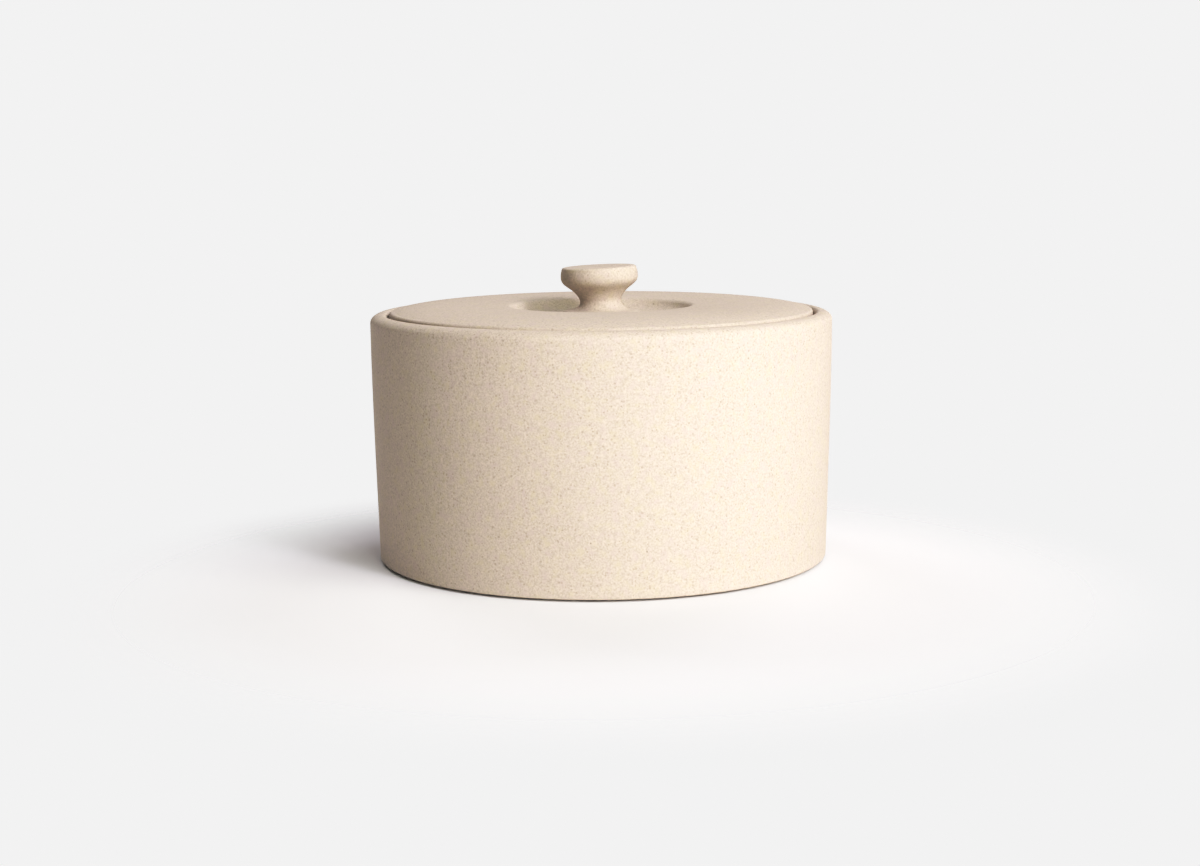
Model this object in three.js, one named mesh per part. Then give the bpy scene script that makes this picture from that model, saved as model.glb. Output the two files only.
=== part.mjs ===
// A round stoneware canister: a low pot, a loose lid that drops into its rim, and a small knob.
// Millimetres, +Z up. The pot's axis is the Z axis and it stands on the plane z = 0.

import * as THREE from 'three';

// Pot, outside
const rimRadius = 82.5; // the wall at its widest, just under the rim
const baseRadius = 80.8; // the wall at its bottom edge
const wallSwell = 0.5; // the middle of the wall bows out from a straight taper by half of this
const potHeight = 88.4; // the rim's crest
const bottomEdgeRound = 0.7;

// Foot ring, set in under the wall
const footHeight = 0.8;
const footInset = 3.8; // from the wall's bottom edge in to the ring
const footWidth = 7;
const underRecess = 1.6; // the underside inside the ring stands this far off the table

// Rim and the gallery that takes the lid
const rimWidth = 6.08;
const crestInset = 4.3; // from the outer face in to the crest
const rimOuterDrop = 2.87; // the outer rounding starts this far below the crest
const rimInnerDrop = 2.19; // the inner rounding ends this far below the crest
const ledgeDrop = 5.4; // from the crest down to the ledge
const ledgeWidth = 5.6;
const ledgeThickness = 3.6; // at the mouth, before the ledge spreads into the wall

// Pot, inside
const wallThickness = 6.2;
const floorThickness = 6;
const innerCornerRound = 9;

// Lid
const lidClearance = 0.75; // between the lid's edge and the gallery, all round
const lidEdgeHeight = 6.14; // from the seat to the edge of the crown
const lidEdgeRound = 1.17;
const lidFootRound = 0.5; // the lower outside corner
const lidCrown = 1.9; // from the edge of the crown up to its highest ring
const crownTopRadius = 52; // that ring
const lipSag = 0.45; // from there the crown sinks this much to the finger well's lip
const lidThickness = 6;
const seatWidth = 6.3; // the flat ring that lies on the ledge

// Finger well in the middle of the lid
const wellLipRadius = 33.8;
const wellLipRound = 2.6;
const wellFloorRound = 6.5;
const wellDepth = 4.25; // from the lip to the floor
const bossRise = 1.86; // the middle of the well stands this far above its floor
const bossMargin = 0.6; // the flat boss is this much wider than the knob's foot, all round
const bossSlope = 7; // the width of the slope from the boss down to the well's floor
const bulgeMargin = 1.3; // under the lid, the well's bulge starts this far inside the well's floor edge
const bulgeSpread = 15; // the width of the slope from the bulge up to the lid's underside

// Knob, with heights above its foot
const knobHeight = 16.1;
const knobFootRadius = 12;
const knobFootEdge = 0.45; // the foot's upright edge
const knobNeckRadius = 7.36;
const knobNeckHeight = 3.7;
const knobFlareRadius = 10.65; // where the flare under the head turns from hollow to full
const knobFlareHeight = 8.3;
const knobFlareAngle = THREE.MathUtils.degToRad(54); // from upright, at that turn
const knobHeadRadius = 13.88;
const knobHeadDrop = 3.4; // from the flat top down to the widest part
const knobShoulderInset = 0.4; // the head's side leans in by this much below its top edge
const knobShoulderDrop = 1;
const knobTopRound = 1.35;
const knobLean = THREE.MathUtils.degToRad(2.2); // it was set on slightly askew

// How far the knob's curves run along their end directions, as shares of their height
const neckFullness = 0.33;
const underFlareFullness = 0.22;
const overFlareFullness = 0.36;
const headFullness = 0.5;

// Fineness of the turned surfaces
const bodySegments = 64;
const knobSegments = 40;
const roundSteps = 4;
const curveSteps = 5;
const pointMerge = 1e-6; // profile points closer together than this are one point

// Sizes that follow from the ones above
const crestRadius = rimRadius - crestInset;
const galleryRadius = rimRadius - rimWidth;
const ledgeHeight = potHeight - ledgeDrop;
const mouthRadius = galleryRadius - ledgeWidth;
const lidRadius = galleryRadius - lidClearance;
const crownRadius = lidRadius - lidEdgeRound;
const crownTopHeight = lidEdgeHeight + lidCrown;
const wellLipHeight = crownTopHeight - lipSag;
const wellFloorHeight = wellLipHeight - wellDepth;
const bossHeight = wellFloorHeight + bossRise;
const bossRadius = knobFootRadius + bossMargin;

const stoneware = { color: 0xd9c4a6, roughness: 0.9, metalness: 0 };

function point(radius, height) {
  return new THREE.Vector2(radius, height);
}

// A quarter of an ellipse between two points; fromSide is true where it leaves the first one upright
function quarterRound(start, end, fromSide) {
  const centre = fromSide ? point(end.x, start.y) : point(start.x, end.y);
  const points = [];
  for (let step = 0; step <= roundSteps; step += 1) {
    const turn = (step / roundSteps) * Math.PI / 2;
    const alongStart = Math.cos(turn);
    const alongEnd = Math.sin(turn);
    points.push(point(
      centre.x + (start.x - centre.x) * alongStart + (end.x - centre.x) * alongEnd,
      centre.y + (start.y - centre.y) * alongStart + (end.y - centre.y) * alongEnd,
    ));
  }
  return points;
}

// An arc about a centre, with angles in radians from the outward direction
function arc(centre, radius, startAngle, endAngle) {
  const clockwise = endAngle < startAngle;
  const curve = new THREE.EllipseCurve(centre.x, centre.y, radius, radius, startAngle, endAngle, clockwise);
  return curve.getPoints(roundSteps);
}

function quadratic(start, control, end) {
  return new THREE.QuadraticBezierCurve(start, control, end).getPoints(curveSteps);
}

function cubic(start, startControl, endControl, end) {
  return new THREE.CubicBezierCurve(start, startControl, endControl, end).getPoints(curveSteps);
}

// A level start and a level end, joined by an even slope
function ease(start, end) {
  const middle = (start.x + end.x) / 2;
  return cubic(start, point(middle, start.y), point(middle, end.y), end);
}

// Turns a profile of radius and height about the Z axis, with repeated points left out
function turned(profile, segments) {
  const clean = profile.filter((p, index) => index === 0 || p.distanceTo(profile[index - 1]) > pointMerge);
  const geometry = new THREE.LatheGeometry(clean, segments);
  geometry.rotateX(Math.PI / 2);
  return geometry;
}

function piece(name, geometry) {
  const mesh = new THREE.Mesh(geometry, new THREE.MeshStandardMaterial(stoneware));
  mesh.name = name;
  return mesh;
}

function makePot() {
  const footOuter = baseRadius - footInset;
  const footInner = footOuter - footWidth;
  const wallFoot = point(baseRadius, footHeight + bottomEdgeRound);
  const wallTop = point(rimRadius, potHeight - rimOuterDrop);
  const wallMiddle = point((wallFoot.x + wallTop.x) / 2 + wallSwell, (wallFoot.y + wallTop.y) / 2);
  const crest = point(crestRadius, potHeight);
  const innerTopRadius = rimRadius - wallThickness;
  const innerFootRadius = baseRadius - wallThickness;
  const insideFloor = underRecess + floorThickness;
  const ledgeUnderside = ledgeHeight - ledgeThickness;
  const profile = [
    point(0, underRecess),
    point(footInner, underRecess),
    point(footInner, 0),
    point(footOuter, 0),
    point(footOuter, footHeight),
    ...quarterRound(point(baseRadius - bottomEdgeRound, footHeight), wallFoot, false),
    ...quadratic(wallFoot, wallMiddle, wallTop),
    ...quarterRound(wallTop, crest, true),
    ...quarterRound(crest, point(galleryRadius, potHeight - rimInnerDrop), false),
    point(galleryRadius, ledgeHeight),
    point(mouthRadius, ledgeHeight),
    point(mouthRadius, ledgeUnderside),
    point(innerTopRadius, ledgeUnderside - (innerTopRadius - mouthRadius)),
    ...quarterRound(
      point(innerFootRadius, insideFloor + innerCornerRound),
      point(innerFootRadius - innerCornerRound, insideFloor),
      true,
    ),
    point(0, insideFloor),
  ];
  return piece('pot', turned(profile, bodySegments));
}

// From the slope of the crown the lip rolls over into the wall, and the wall into the floor, as two arcs that meet on one tangent
function wellWall() {
  const lean = Math.atan2(2 * lipSag, crownTopRadius - wellLipRadius);
  const lipCentre = point(
    wellLipRadius + wellLipRound * Math.sin(lean),
    wellLipHeight - wellLipRound * Math.cos(lean),
  );
  const floorCentreHeight = wellFloorHeight + wellFloorRound;
  const steepest = Math.acos((floorCentreHeight - lipCentre.y) / (wellLipRound + wellFloorRound));
  const floorEdge = lipCentre.x - (wellLipRound + wellFloorRound) * Math.sin(steepest);
  const floorCentre = point(floorEdge, floorCentreHeight);
  const up = Math.PI / 2;
  return [
    ...arc(lipCentre, wellLipRound, up + lean, up + steepest),
    ...arc(floorCentre, wellFloorRound, steepest - up, -up),
  ];
}

function makeLid() {
  const wall = wellWall();
  const floorEdge = wall[wall.length - 1].x;
  const bulgeRadius = floorEdge - bulgeMargin;
  const hollow = point(bulgeRadius + bulgeSpread, crownTopHeight - lidThickness);
  const seatInner = point(lidRadius - seatWidth, 0);
  const crownEdge = point(crownRadius, lidEdgeHeight);
  const crownTop = point(crownTopRadius, crownTopHeight);
  const lip = point(wellLipRadius, wellLipHeight);
  const bulge = point(bulgeRadius, wellFloorHeight - lidThickness);
  const profile = [
    point(0, bulge.y),
    ...ease(bulge, hollow),
    ...quadratic(hollow, point((hollow.x + seatInner.x) / 2, hollow.y), seatInner),
    ...quarterRound(point(lidRadius - lidFootRound, 0), point(lidRadius, lidFootRound), false),
    ...quarterRound(point(lidRadius, lidEdgeHeight - lidEdgeRound), crownEdge, true),
    ...quadratic(crownEdge, point((crownEdge.x + crownTop.x) / 2, crownTop.y), crownTop),
    ...quadratic(crownTop, point((crownTop.x + lip.x) / 2, crownTop.y), lip),
    ...wall,
    ...ease(point(bossRadius + bossSlope, wellFloorHeight), point(bossRadius, bossHeight)),
    point(0, bossHeight),
  ];
  return piece('lid', turned(profile, bodySegments));
}

// Leans the knob towards -X: its foot stays flat, and the lean is complete at the neck
function leanOver(geometry) {
  const position = geometry.getAttribute('position');
  const tiltAxis = new THREE.Vector3(0, 1, 0);
  const vertex = new THREE.Vector3();
  for (let index = 0; index < position.count; index += 1) {
    vertex.fromBufferAttribute(position, index);
    const share = THREE.MathUtils.smoothstep(vertex.z, 0, knobNeckHeight);
    vertex.applyAxisAngle(tiltAxis, -knobLean * share);
    position.setXYZ(index, vertex.x, vertex.y, vertex.z);
  }
  geometry.computeVertexNormals();
  return geometry;
}

function makeKnob() {
  const neck = point(knobNeckRadius, knobNeckHeight);
  const flare = point(knobFlareRadius, knobFlareHeight);
  const widest = point(knobHeadRadius, knobHeight - knobHeadDrop);
  const shoulder = point(knobHeadRadius - knobShoulderInset, knobHeight - knobShoulderDrop);
  const lowerHeight = flare.y - neck.y;
  const upperHeight = widest.y - flare.y;
  const flareLine = point(Math.tan(knobFlareAngle), 1);
  const profile = [
    point(0, 0),
    point(knobFootRadius, 0),
    ...quarterRound(point(knobFootRadius, knobFootEdge), neck, false),
    ...cubic(
      neck,
      point(neck.x, neck.y + lowerHeight * neckFullness),
      flare.clone().addScaledVector(flareLine, -lowerHeight * underFlareFullness),
      flare,
    ),
    ...cubic(
      flare,
      flare.clone().addScaledVector(flareLine, upperHeight * overFlareFullness),
      point(widest.x, widest.y - upperHeight * headFullness),
      widest,
    ),
    ...quadratic(widest, point(widest.x, (widest.y + shoulder.y) / 2), shoulder),
    ...quadratic(shoulder, point(shoulder.x, knobHeight), point(shoulder.x - knobTopRound, knobHeight)),
    point(0, knobHeight),
  ];
  return piece('knob', leanOver(turned(profile, knobSegments)));
}

const canister = new THREE.Group();
canister.add(makePot());

// The lid stands on the ledge, and the knob on the boss in the middle of the lid
const lidGroup = new THREE.Group();
lidGroup.position.z = ledgeHeight;
lidGroup.add(makeLid());
const knob = makeKnob();
knob.position.z = bossHeight;
lidGroup.add(knob);
canister.add(lidGroup);

export default canister;
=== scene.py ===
import math

import bmesh
import bpy
from mathutils import Matrix, Vector, noise
from mathutils.geometry import interpolate_bezier


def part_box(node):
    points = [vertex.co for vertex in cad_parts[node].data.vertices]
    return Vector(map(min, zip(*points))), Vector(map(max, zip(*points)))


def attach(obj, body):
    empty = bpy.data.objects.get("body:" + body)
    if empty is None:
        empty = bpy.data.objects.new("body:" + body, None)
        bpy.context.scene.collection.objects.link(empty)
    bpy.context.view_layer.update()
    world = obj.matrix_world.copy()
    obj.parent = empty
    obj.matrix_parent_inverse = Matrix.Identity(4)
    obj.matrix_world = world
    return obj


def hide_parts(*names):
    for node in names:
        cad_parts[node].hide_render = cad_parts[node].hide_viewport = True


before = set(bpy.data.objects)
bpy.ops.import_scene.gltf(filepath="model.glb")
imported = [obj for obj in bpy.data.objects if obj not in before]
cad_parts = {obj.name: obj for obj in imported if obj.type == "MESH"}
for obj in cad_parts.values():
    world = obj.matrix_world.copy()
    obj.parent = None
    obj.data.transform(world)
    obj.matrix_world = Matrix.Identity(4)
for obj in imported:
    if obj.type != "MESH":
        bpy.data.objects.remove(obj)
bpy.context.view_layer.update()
print("frame loaded:", ", ".join(sorted(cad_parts)))

mm = 0.001  # lengths are in metres
rightAngle = math.pi / 2
fullTurn = 2 * math.pi
mergeDistance = 0.001 * mm
axisReach = 1 * mm  # clay this near to the axis stays round


# Outlines are drawn in the XZ plane, as radius and height, and turned about the Z axis
def at(radius, height):
    return Vector((radius, 0, height))


def fromAxis(spot):
    return math.hypot(spot.x, spot.y)


def bend(start, startHandle, endHandle, end, steps):
    return interpolate_bezier(start, startHandle, endHandle, end, steps + 1)


def bow(start, handle, end, steps):  # a part of a parabola, which leaves and arrives along its one handle
    share = 2 / 3
    return bend(start, start.lerp(handle, share), end.lerp(handle, share), end, steps)


def ease(start, end, steps):  # a soft step, level at both ends
    middle = (start.x + end.x) / 2
    return bend(start, at(middle, start.z), at(middle, end.z), end, steps)


def quarter(start, end, upright, steps):  # a quarter of an ellipse; upright says how it leaves its start
    centre = at(end.x, start.z) if upright else at(start.x, end.z)
    turns = [step / steps * rightAngle for step in range(steps + 1)]
    return [centre + (start - centre) * math.cos(turn) + (end - centre) * math.sin(turn) for turn in turns]


def arc(centre, radius, startAngle, endAngle, steps):
    angles = [startAngle + (endAngle - startAngle) * step / steps for step in range(steps + 1)]
    return [centre + at(radius * math.cos(angle), radius * math.sin(angle)) for angle in angles]


def smooth(value, low, high):  # from 0 at low to 1 at high
    share = min(max((value - low) / (high - low), 0), 1)
    return share * share * (3 - 2 * share)


# Each corner is rounded from its reach along both edges; rowLength gives the longest row at a spot
def turnedMesh(outline, corners, rowLength, segments):
    bm = bmesh.new()
    verts = []
    for point in outline:
        if not verts or (point - verts[-1].co).length > mergeDistance:
            verts.append(bm.verts.new(point))
    for first, second in zip(verts, verts[1:]):
        bm.edges.new((first, second))
    for corner, reach, steps in corners:
        vert = min(bm.verts, key=lambda v: (v.co - corner).length)
        bmesh.ops.bevel(bm, geom=[vert], offset=reach, offset_type='OFFSET', affect='VERTICES',
                        segments=steps, profile=0.5, material=-1)
    for edge in bm.edges[:]:
        middle = (edge.verts[0].co + edge.verts[1].co) / 2
        cuts = int(edge.calc_length() / rowLength(middle))
        if cuts:
            bmesh.ops.subdivide_edges(bm, edges=[edge], cuts=cuts)
    bmesh.ops.spin(bm, geom=bm.verts[:] + bm.edges[:], cent=(0, 0, 0), axis=(0, 0, 1), angle=fullTurn,
                   steps=segments, use_merge=True, use_duplicate=False)
    bmesh.ops.remove_doubles(bm, verts=bm.verts[:], dist=mergeDistance)
    bmesh.ops.recalc_face_normals(bm, faces=bm.faces[:])
    return bm


# The slightly uneven round of clay turned by hand, from none at height low to full at height high;
# it only ever draws inwards
def handRound(bm, depth, size, low, high):
    for vert in bm.verts:
        radius = fromAxis(vert.co)
        if radius > axisReach:
            swell = min(max(0.5 + noise.noise(vert.co / size), 0), 1)
            vert.co.xy *= 1 - depth * swell * smooth(vert.co.z, low, high) / radius


# The spiral that fingers or a trimming tool leave, pressed into the clay as deep as share says
def spiralMarks(bm, pitch, depth, share):
    bm.normal_update()
    presses = []
    for vert in bm.verts:
        radius = fromAxis(vert.co)
        turn = math.atan2(vert.co.y, vert.co.x) / fullTurn
        wave = (1 - math.cos(fullTurn * ((radius + vert.co.z) / pitch - turn))) / 2
        presses.append(vert.normal * depth * wave * share(vert.co) * smooth(radius, 0, pitch))
    for vert, press in zip(bm.verts, presses):
        vert.co -= press


def addObject(name, data):
    item = bpy.data.objects.new(name, data)
    bpy.context.scene.collection.objects.link(item)
    return item


def addMesh(name, bm, material):
    mesh = bpy.data.meshes.new(name)
    bm.to_mesh(mesh)
    bm.free()
    mesh.materials.append(material)
    return addObject(name, mesh)


def finishPiece(name, bm, material, node, body):
    for face in bm.faces:
        face.smooth = True
    piece = addMesh(name, bm, material)
    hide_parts(node)
    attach(piece, body)
    print("made", name, "with", len(piece.data.polygons), "faces")


# Shader nodes: what is given for a socket is a value, or another node's socket to link it to
def addNode(tree, kind, sockets, **settings):
    node = tree.nodes.new(kind)
    for setting, value in settings.items():
        setattr(node, setting, value)
    for key, value in sockets.items():
        if isinstance(value, bpy.types.NodeSocket):
            tree.links.new(value, node.inputs[key])
        else:
            node.inputs[key].default_value = value
    return node


def calc(tree, operation, first, *others, clamp=False):  # a root takes one value, a product any number
    for other in others or [0.0]:
        node = addNode(tree, "ShaderNodeMath", {0: first, 1: other}, operation=operation, use_clamp=clamp)
        first = node.outputs[0]
    return first


def ramp(tree, value, fromLow, fromHigh, toLow=0.0, toHigh=1.0):
    sockets = {"Value": value, "From Min": fromLow, "From Max": fromHigh, "To Min": toLow, "To Max": toHigh}
    return addNode(tree, "ShaderNodeMapRange", sockets, interpolation_type='SMOOTHSTEP').outputs["Result"]


def mixColour(tree, share, first, second):  # 6, 7 and 2 are the colour sockets of a Mix node
    return addNode(tree, "ShaderNodeMix", {0: share, 6: first, 7: second}, data_type='RGBA').outputs[2]


def axisDistance(tree, place):
    squares = [calc(tree, 'MULTIPLY', place[side], place[side]) for side in ("X", "Y")]
    return calc(tree, 'SQRT', calc(tree, 'ADD', *squares))


def signedNoise(tree, vector, size, detail):  # from -1 to 1
    scale = calc(tree, 'DIVIDE', 1.0, size)
    cloud = addNode(tree, "ShaderNodeTexNoise", {"Vector": vector, "Scale": scale, "Detail": detail})
    return calc(tree, 'MULTIPLY', calc(tree, 'SUBTRACT', cloud.outputs[0], 0.5), 2.0)


def newGroup(name, inputs, output):
    group = bpy.data.node_groups.new(name, 'ShaderNodeTree')
    group.interface.new_socket(name="Vector", in_out='INPUT', socket_type='NodeSocketVector')
    for socketName in inputs:
        group.interface.new_socket(name=socketName, in_out='INPUT', socket_type='NodeSocketFloat')
    group.interface.new_socket(name=output, in_out='OUTPUT', socket_type='NodeSocketFloat')
    start = group.nodes.new("NodeGroupInput")
    end = group.nodes.new("NodeGroupOutput")
    return group, start.outputs, end.inputs[output]


def useGroup(tree, group, **sockets):
    return addNode(tree, "ShaderNodeGroup", sockets, node_tree=group).outputs[0]


# Specks of iron and grog. Spacing is in metres; Size is the largest radius as a share of it; Share is how
# many places hold a speck; Softness is the share of its radius that fades; Smallest and Faintest are shares
# of the largest and the strongest speck
def makeSpecks():
    names = ["Spacing", "Size", "Share", "Softness", "Smallest", "Faintest"]
    group, given, mask = newGroup("clay specks", names, "Mask")
    scale = calc(group, 'DIVIDE', 1.0, given["Spacing"])
    cells = addNode(group, "ShaderNodeTexVoronoi", {"Vector": given["Vector"], "Scale": scale}).outputs
    chance = addNode(group, "ShaderNodeSeparateColor", {"Color": cells["Color"]}).outputs
    size = ramp(group, chance["Green"], 0.0, 1.0, given["Smallest"])
    edge = calc(group, 'MULTIPLY', given["Size"], size)
    core = calc(group, 'MULTIPLY', edge, calc(group, 'SUBTRACT', 1.0, given["Softness"]))
    spot = ramp(group, cells["Distance"], edge, core)
    kept = calc(group, 'LESS_THAN', chance["Red"], given["Share"])
    tone = ramp(group, chance["Blue"], 0.0, 1.0, given["Faintest"])
    group.links.new(calc(group, 'MULTIPLY', spot, kept, tone), mask)
    return group


# Uneven colour and grain, from -1 to 1; Size is in metres
def makeMottle():
    group, given, result = newGroup("clay mottle", ["Size", "Detail"], "Value")
    group.links.new(signedNoise(group, given["Vector"], given["Size"], given["Detail"]), result)
    return group


# Fine rings that the turning leaves round the axis, from -1 to 1; Spacing is in metres, and the smaller
# Streak is, the further a ring runs before it changes
def makeTurning():
    group, given, result = newGroup("turning lines", ["Spacing", "Detail", "Streak"], "Value")
    place = addNode(group, "ShaderNodeSeparateXYZ", {"Vector": given["Vector"]}).outputs
    along = addNode(group, "ShaderNodeCombineXYZ", {
        "X": calc(group, 'MULTIPLY', place["X"], given["Streak"]),
        "Y": calc(group, 'MULTIPLY', place["Y"], given["Streak"]),
        "Z": calc(group, 'ADD', axisDistance(group, place), place["Z"])})
    group.links.new(signedNoise(group, along.outputs[0], given["Spacing"], given["Detail"]), result)
    return group


specksEffect, mottleEffect, turningEffect = makeSpecks(), makeMottle(), makeTurning()
print("clay effects ready")

clay = {
    "light": (0.535, 0.468, 0.405, 1),
    "dark": (0.35, 0.313, 0.273, 1),
    "mottleSize": 1.1 * mm,
    "mottleDetail": 3.0,
    "mottleShare": 0.5,
    "grainSize": 0.6 * mm,
    "grainDetail": 1.0,
    "grainShare": 1.6,
    "pink": (0.447, 0.375, 0.361, 1),
    "yellow": (0.459, 0.408, 0.305, 1),
    "patchSize": 3 * mm,
    "patchDetail": 2.0,
    "patchFull": 0.5,  # pink is full from this value of the patches up, yellow from its negative down
    "patchStrength": 0.55,
    "specks": {
        "fine": {"colour": (0.275, 0.244, 0.208, 1), "spacing": 1.15 * mm, "size": 0.45, "strength": 0.62},
        "brown": {"colour": (0.235, 0.21, 0.181, 1), "spacing": 1.9 * mm, "size": 0.22, "strength": 0.6},
        "iron": {"colour": (0.11, 0.099, 0.086, 1), "spacing": 4.2 * mm, "size": 0.1, "strength": 0.5},
    },
    "speckShare": 0.6,
    "speckSoftness": 0.5,
    "speckSmallest": 0.45,
    "speckFaintest": 0.35,
    "turningSpacing": 0.9 * mm,
    "turningDetail": 2.0,
    "turningStreak": 0.05,
    "smoothest": 0.8,
    "roughest": 0.95,
    "roughSpan": 0.6,  # the mottle runs from smoothest to roughest between this value's negative and itself
    "specular": 0.35,
    "reliefUnit": mm,  # what the heights and the pit below are shares of
    "grainHeight": 0.01,
    "mottleHeight": 0.016,
    "turningHeight": 0.008,
    "speckPit": 0.02,
}


def newMaterial(name):
    material = bpy.data.materials.new(name)
    material.use_nodes = True
    tree = material.node_tree
    return material, tree, tree.nodes["Principled BSDF"]


# Colour, roughness and height of bare stoneware; busy, where given, says how many more specks a place holds
def paintClay(tree, vector, values, busy=None):
    mottle, grain, patches = [
        useGroup(tree, mottleEffect, Vector=vector,
                 Size=values[kind + "Size"], Detail=values[kind + "Detail"])
        for kind in ("mottle", "grain", "patch")]
    tone = calc(tree, 'ADD', calc(tree, 'MULTIPLY', mottle, values["mottleShare"]),
                calc(tree, 'MULTIPLY', grain, values["grainShare"]))
    lightness = calc(tree, 'ADD', 0.5, calc(tree, 'MULTIPLY', tone, 0.5), clamp=True)
    colour = mixColour(tree, lightness, values["dark"], values["light"])
    for tint, full in (("pink", values["patchFull"]), ("yellow", -values["patchFull"])):
        tinted = ramp(tree, patches, 0.0, full, 0.0, values["patchStrength"])
        colour = mixColour(tree, tinted, colour, values[tint])
    share = values["speckShare"]
    if busy:
        share = calc(tree, 'MULTIPLY', share, calc(tree, 'ADD', 1.0, busy))
    masks = {}
    for kind, speck in values["specks"].items():
        mask = useGroup(tree, specksEffect, Vector=vector, Spacing=speck["spacing"], Size=speck["size"],
                        Share=share, Softness=values["speckSoftness"],
                        Smallest=values["speckSmallest"], Faintest=values["speckFaintest"])
        colour = mixColour(tree, calc(tree, 'MULTIPLY', mask, speck["strength"]), colour, speck["colour"])
        masks[kind] = mask
    rings = useGroup(tree, turningEffect, Vector=vector, Spacing=values["turningSpacing"],
                     Detail=values["turningDetail"], Streak=values["turningStreak"])
    roughness = ramp(tree, mottle, -values["roughSpan"], values["roughSpan"],
                     values["smoothest"], values["roughest"])
    height = calc(tree, 'ADD', calc(tree, 'MULTIPLY', grain, values["grainHeight"]),
                  calc(tree, 'MULTIPLY', mottle, values["mottleHeight"]),
                  calc(tree, 'MULTIPLY', rings, values["turningHeight"]),
                  calc(tree, 'MULTIPLY', masks["brown"], -values["speckPit"]))
    return colour, roughness, height


def linkClay(tree, shader, values, colour, roughness, height):
    bump = addNode(tree, "ShaderNodeBump", {"Height": height, "Distance": values["reliefUnit"]})
    tree.links.new(colour, shader.inputs["Base Color"])
    tree.links.new(roughness, shader.inputs["Roughness"])
    tree.links.new(bump.outputs["Normal"], shader.inputs["Normal"])
    shader.inputs["Specular IOR Level"].default_value = values["specular"]


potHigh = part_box("pot")[1]
potShape = {
    "baseRadius": 80.8 * mm,
    "wallSwell": 0.5 * mm,
    "bottomEdgeRound": 0.7 * mm,
    "footHeight": 0.8 * mm,
    "footInset": 3.8 * mm,
    "footWidth": 7 * mm,
    "footRound": 0.35 * mm,
    "underRecess": 1.6 * mm,
    "rimWidth": 6.08 * mm,
    "crestInset": 4.3 * mm,
    "rimOuterDrop": 2.87 * mm,
    "rimInnerDrop": 2.19 * mm,
    "ledgeDrop": 5.4 * mm,
    "ledgeWidth": 5.6 * mm,
    "ledgeThickness": 3.6 * mm,
    "ledgeRound": 0.9 * mm,
    "galleryFillet": 0.6 * mm,
    "wallThickness": 6.2 * mm,
    "coveRound": 4 * mm,
    "floorThickness": 6 * mm,
    "innerCornerRound": 9 * mm,
    "outerRow": 2.6 * mm,
    "innerRow": 0.95 * mm,
    "segments": 192,
    "unevenDepth": 0.22 * mm,
    "unevenSize": 45 * mm,
    "unevenFull": 6 * mm,
    "throwPitch": 6.5 * mm,
    "throwDepth": 0.28 * mm,
    "throwFade": 8 * mm,
    "trimPitch": 2.4 * mm,
    "trimDepth": 0.07 * mm,
    "trimFade": 3 * mm,
}


def makePot(shape, rimRadius, height):
    footOuter = shape["baseRadius"] - shape["footInset"]
    footInner = footOuter - shape["footWidth"]
    galleryRadius = rimRadius - shape["rimWidth"]
    mouthRadius = galleryRadius - shape["ledgeWidth"]
    ledge = height - shape["ledgeDrop"]
    ledgeUnder = ledge - shape["ledgeThickness"]
    innerTop = rimRadius - shape["wallThickness"]
    innerFoot = shape["baseRadius"] - shape["wallThickness"]
    under = shape["underRecess"]
    floor = under + shape["floorThickness"]
    foot = shape["footHeight"]
    wallFoot = at(shape["baseRadius"], foot + shape["bottomEdgeRound"])
    wallTop = at(rimRadius, height - shape["rimOuterDrop"])
    wallHandle = (wallFoot + wallTop) / 2 + at(shape["wallSwell"], 0)
    crest = at(rimRadius - shape["crestInset"], height)
    rimInner = at(galleryRadius, height - shape["rimInnerDrop"])
    coveFoot = at(innerTop, ledgeUnder - (innerTop - mouthRadius))
    cornerTop = at(innerFoot, floor + shape["innerCornerRound"])
    cornerFoot = at(innerFoot - shape["innerCornerRound"], floor)
    outline = [
        at(0, under),
        at(footInner, under),
        at(footInner, 0),
        at(footOuter, 0),
        at(footOuter, foot),
        *quarter(at(shape["baseRadius"] - shape["bottomEdgeRound"], foot), wallFoot, upright=False, steps=6),
        *bow(wallFoot, wallHandle, wallTop, steps=32),
        *quarter(wallTop, crest, upright=True, steps=14),
        *quarter(crest, rimInner, upright=False, steps=12),
        at(galleryRadius, ledge),
        at(mouthRadius, ledge),
        at(mouthRadius, ledgeUnder),
        coveFoot,
        *quarter(cornerTop, cornerFoot, upright=True, steps=16),
        at(0, floor),
    ]
    corners = [  # where, reach and steps
        (at(footInner, 0), shape["footRound"], 5),
        (at(footOuter, 0), shape["footRound"], 5),
        (at(galleryRadius, ledge), shape["galleryFillet"], 5),
        (at(mouthRadius, ledge), shape["ledgeRound"], 6),
        (at(mouthRadius, ledgeUnder), shape["ledgeRound"], 6),
        (coveFoot, shape["coveRound"], 8),
    ]

    def rowLength(spot):
        return shape["outerRow"] if spot.x > innerTop else shape["innerRow"]

    def thrown(spot):  # the inside, below the cove and away from the ledge
        below = smooth(coveFoot.z - spot.z, 0, shape["throwFade"])
        return smooth(spot.z, under, floor) * below * (fromAxis(spot) < innerTop)

    def trimmed(spot):  # the underside, inside the foot ring
        return smooth(footInner - fromAxis(spot), 0, shape["trimFade"]) * (spot.z < floor / 2)

    bm = turnedMesh(outline, corners, rowLength, shape["segments"])
    handRound(bm, shape["unevenDepth"], shape["unevenSize"], 0, shape["unevenFull"])
    spiralMarks(bm, shape["throwPitch"], shape["throwDepth"], thrown)
    spiralMarks(bm, shape["trimPitch"], shape["trimDepth"], trimmed)
    return bm


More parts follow.
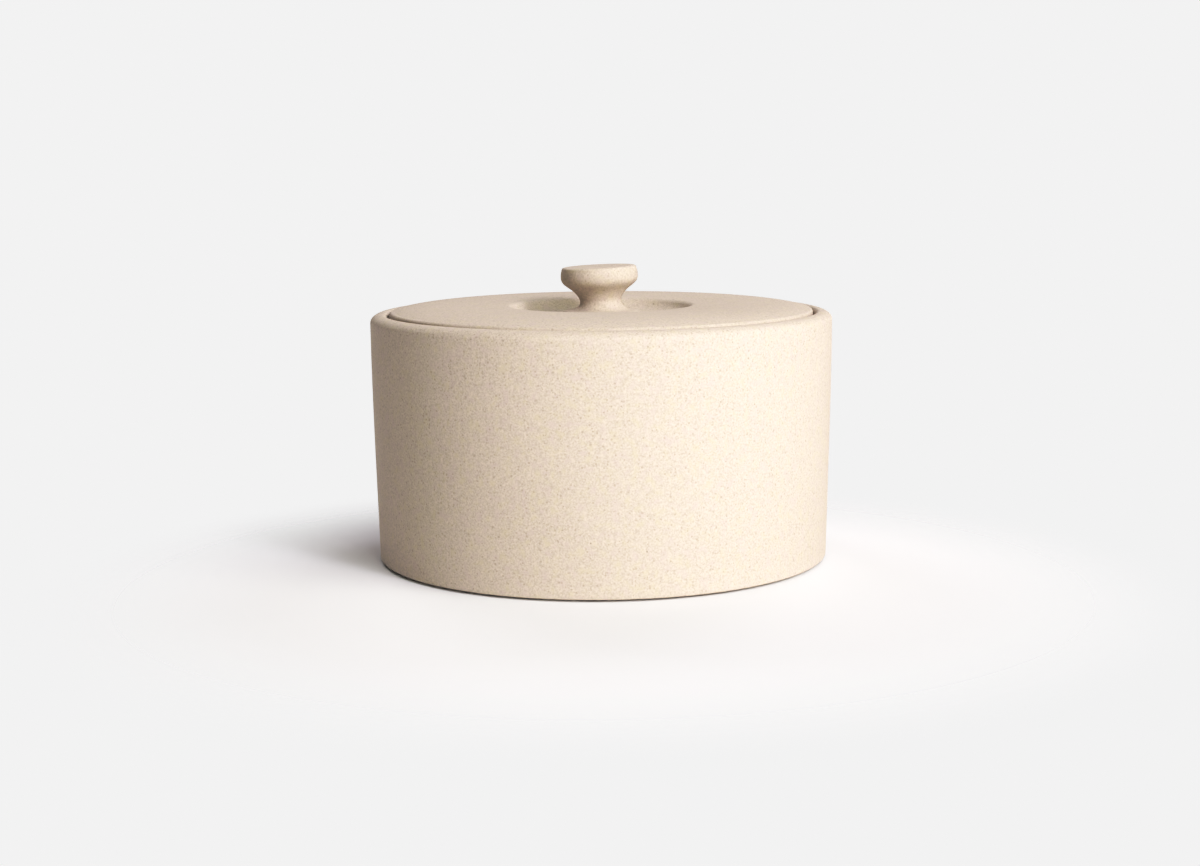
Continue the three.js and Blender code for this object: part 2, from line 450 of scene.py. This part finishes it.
# More specks in a band under the rim, and a thin clear glaze inside, up to a line that wavers
potFinish = {
    "busyStart": 22.4 * mm,  # how far under the top of the pot the band begins, and where it is full
    "busyFull": 10.4 * mm,
    "busyExtra": 0.5,
    "glazeTint": (0.404, 0.345, 0.279, 1),
    "glazeShare": 0.45,
    "glazeRoughness": 0.22,
    "glazeRelief": 0.15,
    "glazeCoat": 0.7,
    "coatRoughness": 0.12,
    "glazeWaver": 0.5 * mm,
    "glazeWaverSize": 12 * mm,
    "glazeFade": 0.35 * mm,
}


def makePotMaterial(values, finish, shape):
    material, tree, shader = newMaterial("pot stoneware")
    vector = tree.nodes.new("ShaderNodeTexCoord").outputs["Object"]
    place = addNode(tree, "ShaderNodeSeparateXYZ", {"Vector": vector}).outputs
    busy = ramp(tree, place["Z"], potHigh.z - finish["busyStart"], potHigh.z - finish["busyFull"],
                0.0, finish["busyExtra"])
    colour, roughness, height = paintClay(tree, vector, values, busy)

    # The glaze is told from the bare clay by the middles of the pot's wall and floor, and by the ledge's
    wallMiddle = potHigh.x - shape["wallThickness"] / 2
    floorMiddle = shape["underRecess"] + shape["floorThickness"] / 2
    ledgeMiddle = potHigh.z - shape["ledgeDrop"] - shape["ledgeThickness"] / 2
    waver = useGroup(tree, mottleEffect, Vector=vector, Size=finish["glazeWaverSize"],
                     Detail=values["mottleDetail"])
    line = calc(tree, 'ADD', ledgeMiddle, calc(tree, 'MULTIPLY', waver, finish["glazeWaver"]))
    inside = calc(tree, 'LESS_THAN', axisDistance(tree, place), wallMiddle)
    above = calc(tree, 'GREATER_THAN', place["Z"], floorMiddle)
    below = ramp(tree, calc(tree, 'SUBTRACT', line, place["Z"]), 0.0, finish["glazeFade"])
    glaze = calc(tree, 'MULTIPLY', inside, above, below)
    bare = calc(tree, 'SUBTRACT', 1.0, glaze)

    tinted = calc(tree, 'MULTIPLY', glaze, finish["glazeShare"])
    colour = mixColour(tree, tinted, colour, finish["glazeTint"])
    roughness = calc(tree, 'ADD', calc(tree, 'MULTIPLY', roughness, bare),
                     ramp(tree, glaze, 0.0, 1.0, 0.0, finish["glazeRoughness"]))
    height = calc(tree, 'MULTIPLY', height, ramp(tree, bare, 0.0, 1.0, finish["glazeRelief"]))
    linkClay(tree, shader, values, colour, roughness, height)
    tree.links.new(calc(tree, 'MULTIPLY', glaze, finish["glazeCoat"]), shader.inputs["Coat Weight"])
    shader.inputs["Coat Roughness"].default_value = finish["coatRoughness"]
    return material


potMaterial = makePotMaterial(clay, potFinish, potShape)
finishPiece("pot_body", makePot(potShape, potHigh.x, potHigh.z), potMaterial, node="pot", body="pot")

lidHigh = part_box("lid")[1]
seatHeight = potHigh.z - potShape["ledgeDrop"]
lidShape = {
    "edgeHeight": 6.14 * mm,
    "edgeRound": 1.17 * mm,
    "footRound": 0.5 * mm,
    "thickness": 6 * mm,
    "seatWidth": 6.3 * mm,
    "crownRise": 1.9 * mm,
    "crownRadius": 52 * mm,
    "crownFullness": 0.68,  # how far out towards its edge the crown stays high
    "lipSag": 0.45 * mm,
    "wellLipRadius": 33.8 * mm,
    "wellLipRound": 2.6 * mm,
    "wellFloorRound": 6.5 * mm,
    "wellDepth": 4.25 * mm,
    "bossRise": 1.86 * mm,
    "bossRadius": 12.6 * mm,
    "bossSlope": 7 * mm,
    "bulgeMargin": 1.3 * mm,
    "bulgeSpread": 15 * mm,
    "rowWidth": 1.2 * mm,
    "segments": 192,
    "unevenDepth": 0.15 * mm,
    "unevenSize": 50 * mm,
    "trimPitch": 3.2 * mm,
    "trimDepth": 0.1 * mm,
    "trimFade": 4 * mm,
}


def makeLid(shape, radius, seat):
    lipRound, floorRound = shape["wellLipRound"], shape["wellFloorRound"]
    crown = at(shape["crownRadius"], seat + shape["edgeHeight"] + shape["crownRise"])
    lip = at(shape["wellLipRadius"], crown.z - shape["lipSag"])
    floor = lip.z - shape["wellDepth"]
    lipLean = math.atan2(2 * shape["lipSag"], crown.x - lip.x)  # the slope at which the crown meets the lip
    lipCentre = lip + at(lipRound * math.sin(lipLean), -lipRound * math.cos(lipLean))
    # The lip's round and the floor's meet where the well's wall is steepest
    steepest = math.acos((floor + floorRound - lipCentre.z) / (lipRound + floorRound))
    floorEdge = lipCentre.x - (lipRound + floorRound) * math.sin(steepest)
    crownEdge = at(radius - shape["edgeRound"], seat + shape["edgeHeight"])
    crownHandle = crown.lerp(at(crownEdge.x, crown.z), shape["crownFullness"])
    boss = at(shape["bossRadius"], floor + shape["bossRise"])
    bulge = at(floorEdge - shape["bulgeMargin"], floor - shape["thickness"])
    hollow = at(bulge.x + shape["bulgeSpread"], crown.z - shape["thickness"])
    seatInner = at(radius - shape["seatWidth"], seat)
    seatOuter = at(radius - shape["footRound"], seat)
    outline = [
        at(0, bulge.z),
        *ease(bulge, hollow, steps=14),
        *bow(hollow, at((hollow.x + seatInner.x) / 2, hollow.z), seatInner, steps=14),
        *quarter(seatOuter, at(radius, seat + shape["footRound"]), upright=False, steps=6),
        *quarter(at(radius, crownEdge.z - shape["edgeRound"]), crownEdge, upright=True, steps=10),
        *bow(crownEdge, crownHandle, crown, steps=20),
        *bow(crown, at((crown.x + lip.x) / 2, crown.z), lip, steps=12),
        *arc(lipCentre, lipRound, rightAngle + lipLean, rightAngle + steepest, steps=12),
        *arc(at(floorEdge, floor + floorRound), floorRound, steepest - rightAngle, -rightAngle, steps=12),
        *ease(at(boss.x + shape["bossSlope"], floor), boss, steps=14),
        at(0, boss.z),
    ]

    def trimmed(spot):  # the underside, inside the seat
        below = spot.z < (hollow.z + floor) / 2
        return smooth(seatInner.x - fromAxis(spot), 0, shape["trimFade"]) * below

    bm = turnedMesh(outline, [], lambda spot: shape["rowWidth"], shape["segments"])
    handRound(bm, shape["unevenDepth"], shape["unevenSize"], 0, bulge.z)
    spiralMarks(bm, shape["trimPitch"], shape["trimDepth"], trimmed)
    return bm


def makeLidMaterial(values):
    material, tree, shader = newMaterial("lid stoneware")
    vector = tree.nodes.new("ShaderNodeTexCoord").outputs["Object"]
    linkClay(tree, shader, values, *paintClay(tree, vector, values))
    return material


lidMaterial = makeLidMaterial(clay)
finishPiece("lid_body", makeLid(lidShape, lidHigh.x, seatHeight), lidMaterial, node="lid", body="lid")

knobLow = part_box("knob")[0]
knobShape = {
    "height": 16.1 * mm,
    "footRadius": 12 * mm,
    "footEdge": 0.45 * mm,
    "skirtReach": 3.4 * mm,
    "skirtDrop": 1.1 * mm,
    "neckRadius": 7.36 * mm,
    "neckHeight": 3.7 * mm,
    "flareRadius": 10.65 * mm,
    "flareHeight": 8.3 * mm,
    "flareAngle": math.radians(54),  # from upright, where the underside of the head slopes most
    "headRadius": 13.88 * mm,
    "headDrop": 3.4 * mm,
    "shoulderInset": 0.4 * mm,
    "shoulderDrop": 1 * mm,
    "topRound": 1.35 * mm,
    "lean": math.radians(2.2),
    "neckFullness": 0.33,
    "underFlareFullness": 0.22,
    "overFlareFullness": 0.36,
    "headFullness": 0.5,
    "rowHeight": 0.6 * mm,
    "segments": 128,
    "unevenDepth": 0.08 * mm,
    "unevenSize": 12 * mm,
}


def makeKnob(shape, base):
    neck = at(shape["neckRadius"], shape["neckHeight"])
    flare = at(shape["flareRadius"], shape["flareHeight"])
    top = shape["height"]
    widest = at(shape["headRadius"], top - shape["headDrop"])
    shoulder = at(widest.x - shape["shoulderInset"], top - shape["shoulderDrop"])
    lower, upper = flare.z - neck.z, widest.z - flare.z
    slope = at(math.tan(shape["flareAngle"]), 1)
    foot = at(shape["footRadius"], shape["footEdge"])
    skirt = foot + at(shape["skirtReach"], -shape["skirtDrop"])
    outline = [
        at(0, skirt.z),
        *ease(skirt, foot, steps=8),
        *quarter(foot, neck, upright=False, steps=16),
        *bend(neck, neck + at(0, lower * shape["neckFullness"]),
              flare - slope * lower * shape["underFlareFullness"], flare, steps=12),
        *bend(flare, flare + slope * upper * shape["overFlareFullness"],
              widest - at(0, upper * shape["headFullness"]), widest, steps=12),
        *bow(widest, at(widest.x, (widest.z + shoulder.z) / 2), shoulder, steps=6),
        *bow(shoulder, at(shoulder.x, top), at(shoulder.x - shape["topRound"], top), steps=10),
        at(0, top),
    ]
    bm = turnedMesh(outline, [], lambda spot: shape["rowHeight"], shape["segments"])
    handRound(bm, shape["unevenDepth"], shape["unevenSize"], shape["footEdge"], shape["neckHeight"])
    for vert in bm.verts:  # the neck and head lean towards -X, and the foot stays flat
        share = smooth(vert.co.z, 0, shape["neckHeight"])
        vert.co.rotate(Matrix.Rotation(-shape["lean"] * share, 3, 'Y'))
    bmesh.ops.translate(bm, verts=bm.verts[:], vec=(0, 0, base))
    return bm


finishPiece("knob_body", makeKnob(knobShape, knobLow.z), lidMaterial, node="knob", body="lid")

# The camera, as fitted to the photograph. focalPixels and imageWidth are in the photograph's pixels, and
# sensorWidth is in millimetres.
cameraFit = {
    "place": (-0.734 * mm, -702.745 * mm, 147.176 * mm),
    "pitch": math.radians(8.358),
    "roll": math.radians(-0.525),
    "sensorWidth": 36,
    "focalPixels": 1960.241,
    "imageWidth": 1200,
    "clipStart": 10 * mm,
}


def makeCamera(fit):
    data = bpy.data.cameras.new("photo camera")
    data.sensor_width = fit["sensorWidth"]
    data.lens = fit["focalPixels"] * fit["sensorWidth"] / fit["imageWidth"]
    data.clip_start = fit["clipStart"]
    camera = addObject("photo camera", data)
    camera.matrix_world = (Matrix.Translation(fit["place"])
                           @ Matrix.Rotation(rightAngle - fit["pitch"], 4, 'X')
                           @ Matrix.Rotation(fit["roll"], 4, 'Z'))
    bpy.context.scene.camera = camera


makeCamera(cameraFit)
print("camera ready")

# The floor reflects its own colour onto the pot and shows the camera a deeper one, which carries the cast
# shadow. To the camera it is clear away from the pot, where the background takes over, and from below.
floorLook = {
    "radius": 3,
    "segments": 96,
    "colour": (0.86, 0.865, 0.88, 1),
    "colourSeen": (0.675, 0.695, 0.73, 1),
    "roughness": 0.8,
    "specular": 0.2,
    "fadeMiddle": (0, -50 * mm, 0),
    "fadeStart": 100 * mm,
    "fadeEnd": 200 * mm,
}


def makeFloor(look):
    bm = bmesh.new()
    bmesh.ops.create_circle(bm, cap_ends=True, segments=look["segments"], radius=look["radius"])
    material, tree, shader = newMaterial("pale floor")
    shader.inputs["Roughness"].default_value = look["roughness"]
    shader.inputs["Specular IOR Level"].default_value = look["specular"]
    vector = tree.nodes.new("ShaderNodeTexCoord").outputs["Object"]
    seen = tree.nodes.new("ShaderNodeLightPath").outputs["Is Camera Ray"]
    below = tree.nodes.new("ShaderNodeNewGeometry").outputs["Backfacing"]
    clear = tree.nodes.new("ShaderNodeBsdfTransparent").outputs["BSDF"]
    radius = addNode(tree, "ShaderNodeVectorMath", {0: vector, 1: look["fadeMiddle"]}, operation='DISTANCE')
    away = ramp(tree, radius.outputs["Value"], look["fadeStart"], look["fadeEnd"])
    faded = calc(tree, 'MULTIPLY', calc(tree, 'MAXIMUM', away, below), seen)
    colour = mixColour(tree, seen, look["colour"], look["colourSeen"])
    tree.links.new(colour, shader.inputs["Base Color"])
    mixed = addNode(tree, "ShaderNodeMixShader", {0: faded, 1: shader.outputs["BSDF"], 2: clear})
    tree.links.new(mixed.outputs[0], tree.nodes["Material Output"].inputs["Surface"])
    floor = addMesh("floor", bm, material)


makeFloor(floorLook)

# The lights are soft discs, which stand at one distance from the middle of the object and face it. Azimuth,
# from the front towards +X, and elevation are in degrees, size is a disc's width, and power is in watts.
studio = {
    "middle": Vector((0, 0, 60 * mm)),
    "distance": 1.6,
}
studioLights = {
    "key": {"azimuth": 38, "elevation": 30, "size": 0.28, "power": 21.5, "colour": (1, 0.956, 0.972)},
    "keyLeft": {"azimuth": 32, "elevation": 24, "size": 0.28, "power": 7.82, "colour": (0.996, 0.879, 1)},
    "keyRight": {"azimuth": 44, "elevation": 24, "size": 0.28, "power": 5.55, "colour": (1, 0.688, 0.651)},
    "front": {"azimuth": 20, "elevation": 15, "size": 0.7, "power": 19.7, "colour": (1, 0.958, 0.785)},
    "right": {"azimuth": 60, "elevation": 15, "size": 0.7, "power": 9, "colour": (1, 0.93, 0.73)},
    "rightHigh": {"azimuth": 60, "elevation": 45, "size": 0.7, "power": 13, "colour": (1, 0.965, 0.85)},
    "high": {"azimuth": 34, "elevation": 68, "size": 0.7, "power": 9.2, "colour": (0.967, 1, 0.925)},
    "leftLow": {"azimuth": -130, "elevation": 12, "size": 0.7, "power": 6.5, "colour": (1, 0.94, 0.86)},
    "backLeft": {"azimuth": -150, "elevation": 38, "size": 0.7, "power": 14, "colour": (1, 0.91, 0.88)},
    "backRight": {"azimuth": 150, "elevation": 38, "size": 0.7, "power": 9, "colour": (0.95, 0.86, 0.95)},
}


def makeLight(name, light):
    azimuth, elevation = math.radians(light["azimuth"]), math.radians(light["elevation"])
    level = math.cos(elevation)
    towards = Vector((level * math.sin(azimuth), -level * math.cos(azimuth), math.sin(elevation)))
    data = bpy.data.lights.new(name, 'AREA')
    data.shape = 'DISK'
    data.size = light["size"]
    data.energy = light["power"]
    data.color = light["colour"]
    lamp = addObject(name, data)
    lamp.matrix_world = (Matrix.Translation(studio["middle"] + towards * studio["distance"])
                         @ (-towards).to_track_quat('-Z', 'Y').to_matrix().to_4x4())


for lightName, light in studioLights.items():
    makeLight(lightName, light)
print("studio ready with", len(studioLights), "lights")

# The background is a plain pale grey to the camera, and gives no light
backgroundColour = (1.373, 1.373, 1.373, 1)


def makeWorld(colour):
    world = bpy.data.worlds.new("studio")
    bpy.context.scene.world = world
    world.use_nodes = True
    tree = world.node_tree
    background = tree.nodes["Background"]
    background.inputs["Color"].default_value = colour
    seen = tree.nodes.new("ShaderNodeLightPath").outputs["Is Camera Ray"]
    tree.links.new(seen, background.inputs["Strength"])


makeWorld(backgroundColour)

# How the camera answers to light, up to the value white: contrast deepens the shades, and shoulder draws the
# lights softly in. Steps is how many parts the curve is drawn in.
response = {
    "white": 2.5,
    "contrast": 1.5,
    "shoulder": 0.83,
    "steps": 10,
}


def answer(values, light):
    return (1 - math.exp(-values["shoulder"] * light ** values["contrast"])) / values["shoulder"]


def setResponse(values):
    view = bpy.context.scene.view_settings
    view.view_transform = 'Standard'
    view.use_curve_mapping = True
    mapping = view.curve_mapping
    mapping.white_level = [values["white"]] * 3
    points = mapping.curves[3].points  # the curve that red, green and blue share, from 0 to the white level
    points[1].location = (1, answer(values, values["white"]))
    for step in range(1, values["steps"]):
        share = step / values["steps"]
        points.new(share, answer(values, share * values["white"]))
    mapping.update()


setResponse(response)
print("camera response set")
